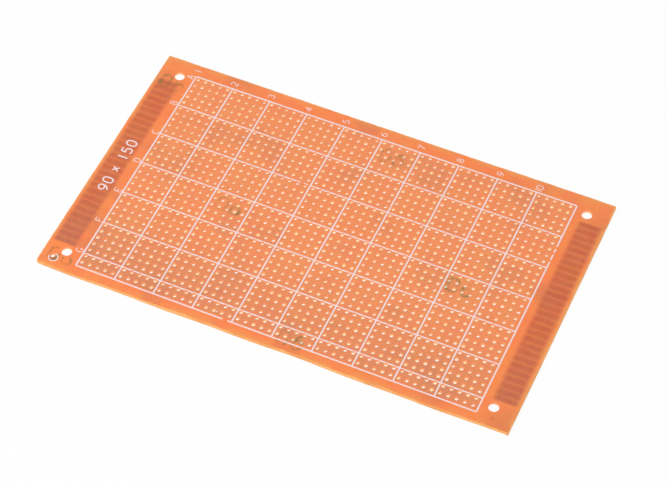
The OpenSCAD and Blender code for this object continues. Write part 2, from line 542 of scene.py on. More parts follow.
def copper_shadow_group():
    """How much copper lies under a place of the sheet, blurred by its thickness, 0 to 1: where the
    face gets painted shade.
    """
    nodes, given, result = shader_group(
        "Copper Shadow", {"Millimetres": "Vector", "Distance": "Float"}, ["Pads", "Fingers"]
    )
    pad_radius = PAD_RADIUS / MM
    pads = nodes.ramp(given["Distance"], pad_radius + 0.45, pad_radius - 0.35)
    nodes.feed(result["Pads"], pads)

    # The area of both combs: the frame's box of the left one, mirrored
    x, y, _ = nodes.split(given["Millimetres"])
    middle = (COMB_LOW.x + COMB_HIGH.x) / 2 / MM
    reach = (COMB_HIGH.x - COMB_LOW.x) / 2 / MM
    from_comb = nodes.minus(nodes.math("ABSOLUTE", x), -middle)
    ends = soft_stripe(nodes, from_comb, reach, 0.9)
    sides = soft_stripe(nodes, y, COMB_HIGH.y / MM, 0.5)

    # The fingers in it: the sheet between them is darkened too, and the shadow leans to the front.
    # Whole turns keep the phase above 0, and an odd number of fingers has one in the middle.
    pitch = PITCH / MM
    count = round((COMB_HIGH.y - COMB_LOW.y) / PITCH)
    lean, half_finger, between, whole_turns = 0.15, 0.9, 0.62, 100
    turns = nodes.over(nodes.plus(y, lean), pitch)
    phase = nodes.math("FRACT", nodes.plus(turns, whole_turns + (count % 2) / 2))
    from_finger = nodes.times(nodes.minus(phase, 0.5), pitch)
    stripe = soft_stripe(nodes, from_finger, half_finger, 0.45)
    stripe = nodes.stretch(stripe, 1 - between, between)
    comb = nodes.times(nodes.times(ends, sides), stripe)

    # The registration dot's fainter shadow
    dot = (DOT_LOW + DOT_HIGH) / 2 / MM
    flat = nodes.combine(x, y, 0.0)
    from_dot = nodes.vector("DISTANCE", flat, (dot.x, dot.y, 0.0))
    dot_shadow = nodes.ramp(from_dot, 1.1, 0.1, 0.0, 0.4)
    nodes.feed(result["Fingers"], nodes.math("MAXIMUM", comb, dot_shadow))
    return nodes.tree


SHARED_EFFECTS = {
    "Hole Lattice": hole_lattice_group,
    "Paper Grain": paper_grain_group,
    "Copper Shadow": copper_shadow_group,
}


def object_place(nodes):
    """A shaded point's place on the object, in millimetres."""
    return nodes.scale(nodes.add("ShaderNodeTexCoord").outputs["Object"], 1 / MM)


def new_material(name):
    """An empty material; returns it, its nodes, its shader and the place in millimetres."""
    material = bpy.data.materials.new(name)
    material.use_nodes = True
    nodes = Nodes(material.node_tree)
    shader = next(node for node in material.node_tree.nodes if node.type == "BSDF_PRINCIPLED")
    return material, nodes, shader, object_place(nodes)


def use_group(nodes, name, **feeds):
    """Places a shared effect in a material and returns its outputs."""
    node = nodes.add("ShaderNodeGroup", node_tree=shared_tree(name, SHARED_EFFECTS[name]))
    for label, value in feeds.items():
        nodes.feed(node.inputs[label], value)
    return node.outputs


def edge_distance(nodes, place):
    """How far a place of the board lies from the nearest edge of the sheet, in millimetres."""
    x, y, _ = nodes.split(place)
    from_end = nodes.minus(SHEET_HIGH.x / MM, nodes.math("ABSOLUTE", x))
    from_side = nodes.minus(SHEET_HIGH.y / MM, nodes.math("ABSOLUTE", y))
    return nodes.math("MINIMUM", from_end, from_side)


def face_material(settings):
    """Varnished orange face, painted shade over the copper, painted glow of holes and edges, pale
    bruised rim.
    """
    material, nodes, shader, place = new_material("Varnished Phenolic Face")
    hole = use_group(nodes, "Hole Lattice", Millimetres=place)
    grain = use_group(nodes, "Paper Grain", Millimetres=place)
    from_hole = hole["Distance"]
    shadow = use_group(nodes, "Copper Shadow", Millimetres=place, Distance=from_hole)
    x, y, _ = nodes.split(place)
    left, front, top = SHEET_LOW.x / MM, SHEET_LOW.y / MM, SHEET_HIGH.z / MM
    colour = settings.face_colour

    def tint(share, over):
        """Lays another colour over the face, by a share of 0 to 1."""
        nonlocal colour
        colour = nodes.mix(share, colour, over)

    # The resin: clouds, patches and browner places, and a darker patch in the front right corner
    tint(nodes.times(grain["Cloud"], 0.5), settings.cloud_colour)
    tint(nodes.times(grain["Patch"], 0.5), settings.patch_colour)
    elsewhere = nodes.vector("ADD", place, (0.0, 0.0, 40.0))
    dull = nodes.ramp(nodes.noise(elsewhere, 0.07, 3.0), 0.52, 0.68, 0.0, 0.5)
    from_corner = nodes.vector("DISTANCE", place, (SHEET_HIGH.x / MM, front, top))
    dull = nodes.math("MAXIMUM", dull, nodes.ramp(from_corner, 12.0, 4.0, 0.0, 0.5))
    tint(dull, settings.dull_colour)
    from_edge = edge_distance(nodes, place)
    # Painted light: a golden glow along the edges, for light coming through the sheet
    golden = nodes.ramp(from_edge, 2.6, 0.4, 0.0, 0.55)
    golden = nodes.times(golden, nodes.ramp(nodes.noise(place, 0.12, 3.0), 0.36, 0.6))
    tint(golden, settings.edge_glow_colour)

    # What comes through the sheet, painted into the face's colour: light from the holes and the
    # copper's shadow
    tint(nodes.times(hole["In Field"], 0.2), settings.hole_glow_colour)
    # Painted shade: the copper below keeps light from coming through, so the face is darker over
    # the pads and the fingers
    tint(nodes.times(shadow["Pads"], 0.18), settings.copper_shadow_tint)
    tint(nodes.times(shadow["Fingers"], 0.75), settings.copper_shadow_tint)

    # The field and the fingers are duller towards the front, most of all on the left
    dim = nodes.ramp(y, front + 35.0, front + 9.0, 0.0, 0.32)
    dim = nodes.times(dim, nodes.math("MAXIMUM", hole["In Field"], shadow["Fingers"]))
    tint(nodes.times(dim, nodes.ramp(x, left + 85.0, left + 15.0, 0.6, 1.0)), settings.dim_colour)

    # Fine mottles, and the face darker inside the printed ring
    tint(nodes.times(grain["Mottle"], 0.10), settings.bruise_and_glow_colour)
    from_ring = nodes.vector("MULTIPLY", place, (1, 1, 0))
    from_ring = nodes.vector("DISTANCE", from_ring, RING_CENTRE / MM)
    tint(nodes.ramp(from_ring, 1.5, 0.9, 0.0, 0.6), settings.ring_inside_colour)

    # The pale edge that the shears crushed, of uneven width, and a thin pale ring round each lead
    # hole, partly bruised resin and partly painted light from the hole
    reach = nodes.stretch(nodes.noise(place, 0.5, 3.0), 1.4, -0.35)
    bruise = nodes.ramp(nodes.minus(from_edge, reach), 0.35, -0.35, 0.0, 0.6)
    lead_radius = LEAD_RADIUS / MM
    rim = nodes.ramp(from_hole, lead_radius + 0.75, lead_radius, 0.0, 0.22)
    tint(nodes.math("MAXIMUM", bruise, rim), settings.bruise_and_glow_colour)
    height = nodes.plus(nodes.times(grain["Fibre"], 0.4), grain["Mottle"])
    looks = {
        "Base Color": colour,
        "Roughness": nodes.stretch(grain["Fibre"], 0.12, 0.40),
        "Normal": nodes.bump(height, 0.25, 0.02 * MM),
    }
    nodes.dress(shader, looks)
    return material


def cut_material(settings):
    """Punched and sheared walls: smooth resin above, torn pale fibres below, and painted glow,
    strongest at a punched wall's foot.
    """
    material, nodes, shader, place = new_material("Punched Phenolic Wall")
    hole = use_group(nodes, "Hole Lattice", Millimetres=place)
    grain = use_group(nodes, "Paper Grain", Millimetres=place)
    _, _, z = nodes.split(place)
    uneven = nodes.stretch(nodes.noise(place, 1.3, 3.0), 0.4, -0.2)
    thickness = (SHEET_HIGH.z - SHEET_LOW.z) / MM
    share_up = nodes.over(nodes.minus(z, SHEET_LOW.z / MM), thickness)
    level = nodes.plus(share_up, uneven)

    # A punched wall is torn pale below, and each hole a little differently; the pale foot is also
    # painted light soaking through the sheet
    torn = nodes.ramp(level, 0.9, 0.05)
    torn = nodes.times(torn, nodes.stretch(hole["Chance"], 0.5, 0.5))
    punched = nodes.mix(torn, settings.wall_colour, settings.fibre_and_light_colour)
    # Painted glow of a punched wall, stronger towards its foot
    punched_light = nodes.ramp(level, 0.95, 0.1, 0.6, 1.1)
    punched_light = nodes.times(punched_light, nodes.stretch(hole["Chance"], 0.4, 0.8))

    # The sheared outer wall is plainer, with pale crushed patches
    crushed = nodes.ramp(nodes.noise(place, 0.14, 3.0, 0.6), 0.38, 0.6, 0.1, 0.8)
    sheared = nodes.mix(crushed, settings.edge_colour, settings.bruise_and_glow_colour)
    sheared_light = 0.42
    outer = nodes.math("LESS_THAN", edge_distance(nodes, place), 1.4)
    colour = nodes.mix(outer, punched, sheared)
    colour = nodes.mix(nodes.times(grain["Fibre"], 0.2), colour, settings.wall_colour)
    # Painted light: the walls glow by emission, standing for light that soaks through the sheet
    lights = {"Factor": outer, "A": punched_light, "B": sheared_light}
    lit = nodes.make("ShaderNodeMix", lights)
    glow = nodes.times(lit, settings.wall_glow)
    looks = {
        "Base Color": colour,
        "Emission Color": nodes.mix(glow, (0, 0, 0), colour),
        "Emission Strength": 1.0,
        "Roughness": nodes.stretch(grain["Fibre"], 0.2, 0.65),
        "Normal": nodes.bump(grain["Fibre"], 0.5, 0.05 * MM),
    }
    nodes.dress(shader, looks)
    return material


def underside_material(settings):
    """Plain brown face between the copper, with fine paper grain."""
    material, nodes, shader, place = new_material("Phenolic Underside")
    grain = use_group(nodes, "Paper Grain", Millimetres=place)
    plain = settings.underside_colour
    dark = [0.82 * part for part in plain]
    colour = nodes.mix(grain["Mottle"], plain, dark)
    looks = {
        "Base Color": nodes.mix(nodes.times(grain["Fibre"], 0.3), colour, settings.wall_colour),
        "Roughness": nodes.stretch(grain["Fibre"], 0.15, 0.45),
        "Normal": nodes.bump(grain["Fibre"], 0.3, 0.02 * MM),
    }
    nodes.dress(shader, looks)
    return material


def copper_material(settings):
    """Etched copper foil with tarnish in patches under its flux lacquer."""
    material, nodes, shader, place = new_material("Etched Copper")
    hole = use_group(nodes, "Hole Lattice", Millimetres=place)
    patches = nodes.ramp(nodes.noise(place, 0.09, 4.0, 0.6), 0.42, 0.66)
    specks = nodes.ramp(nodes.noise(place, 2.6, 3.0), 0.5, 0.75, 0.0, 0.5)
    tarnish = nodes.math("MAXIMUM", patches, specks)
    tarnish = nodes.times(tarnish, nodes.stretch(hole["Chance"], 0.35, 0.6))
    brushed = nodes.noise(nodes.vector("MULTIPLY", place, (0.4, 6.0, 1.0)), 1.0, 3.0)
    looks = {
        "Base Color": nodes.mix(tarnish, settings.copper_colour, settings.tarnish_colour),
        "Metallic": 1.0,
        "Roughness": nodes.stretch(tarnish, 0.25, 0.3),
        "Coat Weight": nodes.minus(0.6, nodes.times(specks, 0.6)),
        "Normal": nodes.bump(brushed, 0.2, 0.01 * MM),
    }
    nodes.dress(shader, looks)
    return material


def ink_material(settings):
    """Screen-printed white ink, thin enough for the sheet to warm it here and there."""
    material, nodes, shader, place = new_material("Marking Ink")
    thin = nodes.ramp(nodes.noise(place, 1.1, 4.0, 0.65), 0.48, 0.74, 0.0, 0.45)
    orange = paint(250, 150, 110)
    warm = [0.5 * ink + 0.5 * sheet for ink, sheet in zip(settings.ink_colour, orange)]
    looks = {
        "Base Color": nodes.mix(thin, settings.ink_colour, warm),
        "Roughness": nodes.stretch(thin, 0.3, 0.5),
        "Normal": nodes.bump(nodes.noise(place, 6.0, 2.0), 0.2, 0.005 * MM),
    }
    nodes.dress(shader, looks)
    return material


def stamp_material(settings):
    """Faded stamp of the raw sheet, mostly soaked away and thinner at the sides of its lines."""
    material, nodes, shader, place = new_material("Faded Sheet Stamp")
    wear = nodes.ramp(nodes.noise(place, 0.4, 3.0), 0.34, 0.6, 0.4, 0.06)
    height = nodes.minus(nodes.split(place)[2], SHEET_HIGH.z / MM)
    soft = nodes.ramp(height, 0.3 * STAMP_DEPTH / MM, STAMP_DEPTH / MM)
    pale = [1.3 * part for part in settings.stamp_colour]
    looks = {
        "Base Color": nodes.mix(nodes.noise(place, 0.3), settings.stamp_colour, pale),
        "Alpha": nodes.times(wear, soft),
        "Roughness": 0.55,
    }
    nodes.dress(shader, looks)
    return material


# ---------------------------------------------------------------- phenolic sheet


def outline_points(radii, spacing):
    """The board's outline, anticlockwise from the front left: places and outward directions."""
    points = []
    steps = 8
    corners = ((-1, -1, 180), (1, -1, 270), (1, 1, 0), (-1, 1, 90))
    for (side_x, side_y, start), radius in zip(corners, radii):
        centre = Vector((side_x * (SHEET_HIGH.x - radius), side_y * (SHEET_HIGH.y - radius)))
        for step in range(steps + 1):
            angle = math.radians(start + 90 * step / steps)
            outward = Vector((math.cos(angle), math.sin(angle)))
            points.append((centre + radius * outward, outward))
    closed = []
    for (place, outward), (following, _) in zip(points, points[1:] + points[:1]):
        closed.append((place, outward))
        gap = (following - place).length
        if gap > 2 * spacing:
            count = round(gap / spacing)
            direction = (following - place).normalized()
            square = Vector((direction.y, -direction.x))
            closed += [(place.lerp(following, step / count), square) for step in range(1, count)]
    return closed


def sheared_edge(settings):
    """The board's outer wall, wavy from the shear and chipped along its top. Open at both ends."""
    low, high = SHEET_LOW.z, SHEET_HIGH.z
    thickness = high - low
    spacing = 0.6 * MM
    bevel = 0.04 * MM
    rings = []
    for place, outward in outline_points(settings.corner_radii, spacing):
        spot = Vector((*place, 0)) / MM

        def ripple(scale, seed):
            """A share of 0 to 1 that wanders smoothly along the edge."""
            swell = 1.6 * noise.noise(spot * scale + Vector((0, 0, seed)))
            return 0.5 + 0.5 * max(-1, min(1, swell))

        # The front edge wanders in by the full wave, the others by a fifth of it
        wander = 0.2 + 0.8 * max(0.0, -outward.y)
        wave = wander * settings.shear_wave * (0.15 * ripple(0.9, 3) + 0.85 * ripple(0.05, 7))
        chip = (0.35 * ripple(1.1, 11) + 0.65 * ripple(0.16, 17)) ** 2
        width = bevel + settings.chip_width * chip
        depth = 0.03 * MM + settings.chip_depth * chip * (0.5 + 0.5 * ripple(0.7, 23))
        lip = 0.05 * MM * ripple(0.8, 29)

        # How far in the wall lies at each height, from the top down
        profile = (
            (wave + width, high),
            (wave + 0.45 * width, high - 0.35 * depth),
            (wave + lip, high - depth),
            (wave, low + 0.42 * thickness),
            (0.85 * wave, low + 0.3 * thickness),
            (0.85 * wave, low + 0.04 * thickness),
            (0.85 * wave + bevel, low),
        )
        rings.append([(place - outward * inwards, z) for inwards, z in profile])
    levels = len(rings[0])
    vertices = [(flat.x, flat.y, z) for ring in rings for flat, z in ring]
    faces = []
    for first in range(len(rings)):
        second = (first + 1) % len(rings)
        for level in range(levels - 1):
            near, far = first * levels + level, second * levels + level
            faces.append((near, near + 1, far + 1, far))
    mesh = bpy.data.meshes.new("sheared_edge")
    mesh.from_pydata(vertices, [], faces)
    mesh.shade_smooth()
    return mesh


def punched_sheet_tree():
    """Faces and walls of a sheet with lead holes, four corner holes and a tooling hole."""
    nodes, given, result = geometry_tree(
        "Punched Sheet",
        pitch=PITCH,
        columns=COLUMNS,
        rows=ROWS,
        lead_radius=LEAD_RADIUS,
        mount_radius=MOUNT_RADIUS,
        mount_spacing_x=MOUNT_SPACING[0],
        mount_spacing_y=MOUNT_SPACING[1],
        mount_centre=MOUNT_CENTRE,
        tooling_radius=TOOLING_RADIUS,
        tooling_centre=TOOLING_CENTRE,
        field_centre=FIELD_CENTRE,
        low=SHEET_LOW.z,
        high=SHEET_HIGH.z,
        rim_width=0.05 * MM,
        rim_depth=0.06 * MM,
        face="face",
        wall="wall",
        underside="underside",
    )
    low, high = given["Low"], given["High"]
    thickness = nodes.minus(high, low)

    def wall(segments, radius):
        """The wall of one hole, rounded over at the top, about the origin."""
        feeds = {"Vertices": segments, "Side Segments": 2, "Radius": radius, "Depth": thickness}
        tube = nodes.make("GeometryNodeMeshCylinder", feeds, fill_type="NONE")
        x, y, z = nodes.split(nodes.place())

        # The tube has a ring of points at its foot, at its middle and at its top: the top one
        # is spread and the middle one raised to where the rounded edge begins
        level = nodes.over(z, thickness)
        is_top = nodes.math("GREATER_THAN", level, 0.25)
        is_end = nodes.math("GREATER_THAN", nodes.math("ABSOLUTE", level), 0.25)
        is_middle = nodes.minus(1.0, is_end)
        spread = nodes.stretch(nodes.over(given["Rim width"], radius), is_top, 1.0)
        raised = nodes.minus(nodes.times(thickness, 0.5), given["Rim depth"])
        z = nodes.stretch(raised, is_middle, z)
        bell = nodes.combine(nodes.times(x, spread), nodes.times(y, spread), z)
        tube = nodes.move(tube, Position=bell)
        middle = nodes.times(nodes.plus(low, high), 0.5)
        return nodes.smooth(nodes.flip(nodes.lift(tube, middle)))

    def rims(points, segments, radius):
        """The upper and the lower edge of every hole of one kind, as curves."""
        upper = nodes.circle(segments, nodes.plus(radius, given["Rim width"]))
        return nodes.scatter(points, upper), nodes.scatter(points, nodes.circle(segments, radius))

    pitch = given["Pitch"]
    leads = nodes.lattice(pitch, pitch, given["Columns"], given["Rows"])
    leads = nodes.shift(leads, given["Field centre"])
    corners = nodes.lattice(given["Mount spacing x"], given["Mount spacing y"], 2, 2)
    corners = nodes.shift(corners, given["Mount centre"])
    feeds = {"Count": 1, "Start Location": given["Tooling centre"]}
    tooling = nodes.make("GeometryNodeMeshLine", feeds)
    kinds = (
        (leads, LEAD_SEGMENTS, given["Lead radius"]),
        (corners, MOUNT_SEGMENTS, given["Mount radius"]),
        (tooling, TOOLING_SEGMENTS, given["Tooling radius"]),
    )
    walls = [nodes.scatter(points, wall(segments, radius)) for points, segments, radius in kinds]
    mount_rims = rims(*kinds[1])
    tooling_rims = rims(*kinds[2])

    # The margins: from the outer wall's open edge in to the field's own border, which has a point
    # at every corner of the tiles that it meets
    width = nodes.times(pitch, given["Columns"])
    depth = nodes.times(pitch, given["Rows"])
    steps = nodes.times(nodes.plus(given["Columns"], given["Rows"]), 2.0)
    feeds = {"Curve": nodes.rectangle(width, depth), "Count": steps}
    border = nodes.make("GeometryNodeResampleCurve", feeds)
    border = nodes.shift(border, given["Field centre"])
    faces_at_edge = nodes.make("GeometryNodeInputMeshEdgeNeighbors")
    open_edge = nodes.math("LESS_THAN", faces_at_edge, 1.5)
    z = nodes.split(nodes.place())[2]
    is_high = nodes.math("GREATER_THAN", z, nodes.times(thickness, 0.5))
    faces = []
    for side, chosen, radius in (
        (0, is_high, nodes.plus(given["Lead radius"], given["Rim width"])),
        (1, nodes.minus(1.0, is_high), given["Lead radius"]),
    ):
        selection = nodes.times(open_edge, chosen)
        feeds = {"Mesh": given["Geometry"], "Selection": selection}
        outline = nodes.make("GeometryNodeMeshToCurve", feeds)
        margin = nodes.fill(outline, border, mount_rims[side], tooling_rims[side])
        tile = nodes.fill(nodes.rectangle(pitch, pitch), nodes.circle(LEAD_SEGMENTS, radius))
        flat = nodes.join(margin, nodes.scatter(leads, tile))
        flat = nodes.lift(nodes.flip(flat) if side else flat, low if side else high)
        faces.append(nodes.coat(flat, given["Underside"] if side else given["Face"]))
    rough = nodes.coat(nodes.join(given["Geometry"], *walls), given["Wall"])
    whole = nodes.weld(nodes.join(*faces, rough), WELD)
    nodes.feed(result, nodes.realize(whole))
    return nodes.tree


class BOARD_OT_phenolic_sheet(bpy.types.Operator):
    """Punch and shear the phenolic sheet"""

    bl_idname = "board.phenolic_sheet"
    bl_label = "Phenolic Sheet"

    def execute(self, context):
        settings = context.scene.board_sheet
        piece = grow(
            "phenolic_sheet",
            punched_sheet_tree(),
            sheared_edge(settings),
            rim_width=settings.rim_width,
            rim_depth=settings.rim_depth,
            face=face_material(settings),
            wall=cut_material(settings),
            underside=underside_material(settings),
        )
        seat(piece, "laminate", "laminate")
        return {"FINISHED"}


# ---------------------------------------------------------------- copper


def copper_rings_tree():
    """Etched rings on a lattice, with edges that lean in towards the bare face."""
    nodes, given, result = geometry_tree(
        "Copper Rings",
        pitch=PITCH,
        columns=COLUMNS,
        rows=SQUARE_HOLES,
        inner_radius=LEAD_RADIUS,
        outer_radius=PAD_RADIUS,
        foil=SHEET_LOW.z,
        slope=0.03 * MM,
        centre=Vector((0, 0, 0)),
        copper="copper",
    )
    middle = nodes.times(nodes.plus(given["Inner radius"], given["Outer radius"]), 0.5)
    half = nodes.times(nodes.minus(given["Outer radius"], given["Inner radius"]), 0.5)
    narrow = nodes.minus(half, given["Slope"])
    depth = given["Foil"]
    feeds = {
        "Point 1": nodes.combine(nodes.times(half, -1.0), 0.0, 0.0),
        "Point 2": nodes.combine(half, 0.0, 0.0),
        "Point 3": nodes.combine(narrow, depth, 0.0),
        "Point 4": nodes.combine(nodes.times(narrow, -1.0), depth, 0.0),
    }
    section = nodes.make("GeometryNodeCurvePrimitiveQuadrilateral", feeds, mode="POINTS")
    feeds = {"Curve": nodes.circle(LEAD_SEGMENTS, middle), "Profile Curve": section}
    ring = nodes.lift(nodes.make("GeometryNodeCurveToMesh", feeds), depth)
    points = nodes.lattice(given["Pitch"], given["Pitch"], given["Columns"], given["Rows"])
    rings = nodes.scatter(nodes.shift(points, given["Centre"]), ring)
    nodes.feed(result, nodes.coat(rings, given["Copper"]))
    return nodes.tree


def copper_lands_tree():
    """A column of flat copper lands with rounded corners and edges that lean in."""
    nodes, given, result = geometry_tree(
        "Copper Lands",
        length=COMB_HIGH.x - COMB_LOW.x,
        width=1.7 * MM,
        corner=0.2 * MM,
        foil=SHEET_LOW.z,
        slope=0.03 * MM,
        count=28,
        spacing=PITCH,
        centre=Vector((0, 0, 0)),
        copper="copper",
    )
    feeds = {
        "Curve": nodes.rectangle(given["Length"], given["Width"]),
        "Radius": given["Corner"],
        "Limit Radius": True,
        "Count": 4,
    }
    outline = nodes.make("GeometryNodeFilletCurve", feeds, mode="POLY")
    face = nodes.make("GeometryNodeFillCurve", {"Curve": outline}, mode="NGONS")
    down = nodes.combine(0.0, 0.0, -1.0)
    feeds = {"Mesh": face, "Offset": down, "Offset Scale": given["Foil"], "Individual": False}
    sunk = nodes.make("GeometryNodeExtrudeMesh", feeds, mode="FACES")
    x, y, z = nodes.split(nodes.place())
    bare = nodes.math("LESS_THAN", z, nodes.times(given["Foil"], -0.5))
    lean_x = nodes.times(nodes.math("SIGN", x), given["Slope"])
    lean_y = nodes.times(nodes.math("SIGN", y), given["Slope"])
    lean = nodes.scale(nodes.combine(lean_x, lean_y, 0.0), -1.0)
    sunk = nodes.move(sunk, Selection=bare, Offset=lean)
    land = nodes.weld(nodes.join(nodes.flip(sunk), face), WELD / 2)
    land = nodes.lift(land, given["Foil"])
    column = nodes.lattice(given["Spacing"], given["Spacing"], 1, given["Count"])
    column = nodes.shift(column, given["Centre"])
    nodes.feed(result, nodes.coat(nodes.scatter(column, land), given["Copper"]))
    return nodes.tree


def shared_copper(context):
    """The copper material, made once."""
    return bpy.data.materials.get("Etched Copper") or copper_material(context.scene.board_copper)


def etch_lands(context, name, node, width, corner, count=1):
    """Makes one piece of copper lands, as long as a node's box and in its middle."""
    low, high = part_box(node)
    middle = (low + high) / 2
    piece = grow(
        name,
        shared_tree("Copper Lands", copper_lands_tree),
        length=high.x - low.x,
        width=width,
        corner=corner,
        slope=context.scene.board_copper.etch_slope,
        count=count,
        centre=Vector((middle.x, middle.y, 0)),
        copper=shared_copper(context),
    )
    seat(piece, "copper", node)


class BOARD_OT_copper_rings(bpy.types.Operator):
    """Etch a copper ring round every lead hole, one piece for each lettered row of squares"""

    bl_idname = "board.copper_rings"
    bl_label = "Copper Rings"

    def execute(self, context):
        settings = context.scene.board_copper
        tree = copper_rings_tree()
        for band in BANDS:
            low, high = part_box(band)
            piece = grow(
                band.replace("pads_row", "copper_rings"),
                tree,
                rows=int((high.y - low.y) / PITCH) + 1,
                slope=settings.etch_slope,
                centre=Vector((0, (low.y + high.y) / 2, 0)),
                copper=shared_copper(context),
            )
            seat(piece, "copper", band)
        return {"FINISHED"}


class BOARD_OT_copper_fingers(bpy.types.Operator):
    """Etch the comb of copper fingers along each short edge"""

    bl_idname = "board.copper_fingers"
    bl_label = "Copper Fingers"

    def execute(self, context):
        settings = context.scene.board_copper
        width, corner = settings.finger_width, settings.finger_corner
        for side in ("left", "right"):
            node = f"fingers_{side}"
            low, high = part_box(node)
            count = round((high.y - low.y - width) / PITCH) + 1
            etch_lands(context, f"copper_{node}", node, width, corner, count)
        return {"FINISHED"}


class BOARD_OT_registration_dot(bpy.types.Operator):
    """Etch the round registration dot in the front right corner"""

    bl_idname = "board.registration_dot"
    bl_label = "Registration Dot"

    def execute(self, context):
        across = DOT_HIGH.x - DOT_LOW.x
        etch_lands(context, "copper_dot", "registration_dot", across, across / 2)
        return {"FINISHED"}


# ---------------------------------------------------------------- print


def arc(x, y, reach_x, reach_y, start, end, steps=10):
    """Points along an ellipse, between two angles in degrees."""
    angles = [math.radians(start + (end - start) * step / steps) for step in range(steps + 1)]
    return [(x + reach_x * math.cos(angle), y + reach_y * math.sin(angle)) for angle in angles]


# Each character as pen strokes in a box about 0.65 wide and 1 high
GLYPHS = {
    "0": [arc(0.32, 0.68, 0.3, 0.32, 0, 180) + arc(0.32, 0.32, 0.3, 0.32, 180, 360)
          + [(0.62, 0.68)]],
    "1": [[(0.3, 0.88), (0.42, 1.0), (0.42, 0.0)]],
    "2": [arc(0.32, 0.73, 0.29, 0.27, 165, -40) + [(0.0, 0.0), (0.66, 0.0)]],
    "3": [arc(0.3, 0.74, 0.26, 0.26, 150, -90), arc(0.3, 0.25, 0.31, 0.25, 90, -155)],
    "4": [[(0.48, 0.0), (0.48, 1.0), (0.0, 0.3), (0.66, 0.3)]],
    "5": [[(0.58, 1.0), (0.12, 1.0), (0.07, 0.54)] + arc(0.31, 0.31, 0.31, 0.32, 120, -150)],
    "6": [arc(0.62, 0.34, 0.59, 0.64, 100, 170), arc(0.33, 0.3, 0.3, 0.3, -180, 180)],
    "7": [[(0.02, 1.0), (0.62, 1.0), (0.22, 0.0)]],
    "8": [arc(0.32, 0.75, 0.24, 0.25, -90, 270), arc(0.32, 0.25, 0.3, 0.25, 90, 450)],
    "9": [arc(0.02, 0.66, 0.59, 0.64, -80, -10), arc(0.31, 0.7, 0.3, 0.3, 0, 360)],
    "x": [[(0.08, 0.15), (0.56, 0.75)], [(0.08, 0.75), (0.56, 0.15)]],
    "A": [[(0.0, 0.0), (0.32, 1.0), (0.64, 0.0)], [(0.1, 0.33), (0.54, 0.33)]],
    "B": [[(0.02, 0.0), (0.02, 1.0)] + arc(0.3, 0.76, 0.26, 0.24, 90, -90) + [(0.02, 0.52)],
          arc(0.3, 0.26, 0.32, 0.26, 90, -90) + [(0.02, 0.0)]],
    "C": [arc(0.36, 0.5, 0.34, 0.5, 48, 312)],
    "D": [[(0.02, 0.0), (0.02, 1.0)] + arc(0.22, 0.5, 0.42, 0.5, 90, -90) + [(0.02, 0.0)]],
    "E": [[(0.6, 1.0), (0.02, 1.0), (0.02, 0.0), (0.6, 0.0)], [(0.02, 0.52), (0.5, 0.52)]],
    "F": [[(0.6, 1.0), (0.02, 1.0), (0.02, 0.0)], [(0.02, 0.52), (0.5, 0.52)]],
    "G": [arc(0.36, 0.5, 0.34, 0.5, 48, 320) + [(0.66, 0.45), (0.4, 0.45)]],
}


def lettering(text, centre, height, advance=0.92):
    """Strokes of a text that reads along +Y with its top towards -X, about its centre."""
    glyph_width, space = 0.65, 0.55
    steps = [space if character == " " else 1.0 for character in text]
    run = sum(steps) * advance * height
    pen = centre[1] - run / 2
    strokes = []
    for character, step in zip(text, steps):
        start = pen + (step * advance - glyph_width) * height / 2
        for stroke in GLYPHS.get(character, []):
            points = [(centre[0] + (0.5 - v) * height, start + u * height) for u, v in stroke]
            strokes.append(points)
        pen += step * advance * height
    return strokes


def stroke_mesh(name, strokes):
    """A mesh of bare edges, one chain for each stroke."""
    vertices, edges = [], []
    for stroke in strokes:
        first = len(vertices)
        closed = (Vector(stroke[0]) - Vector(stroke[-1])).length < WELD / 2
        points = stroke[:-1] if closed else stroke
        vertices += [(x, y, 0) for x, y in points]
        edges += [(first + step, first + step + 1) for step in range(len(points) - 1)]
        if closed:
            edges.append((first + len(points) - 1, first))
    mesh = bpy.data.meshes.new(name)
    mesh.from_pydata(vertices, edges, [])
    return mesh


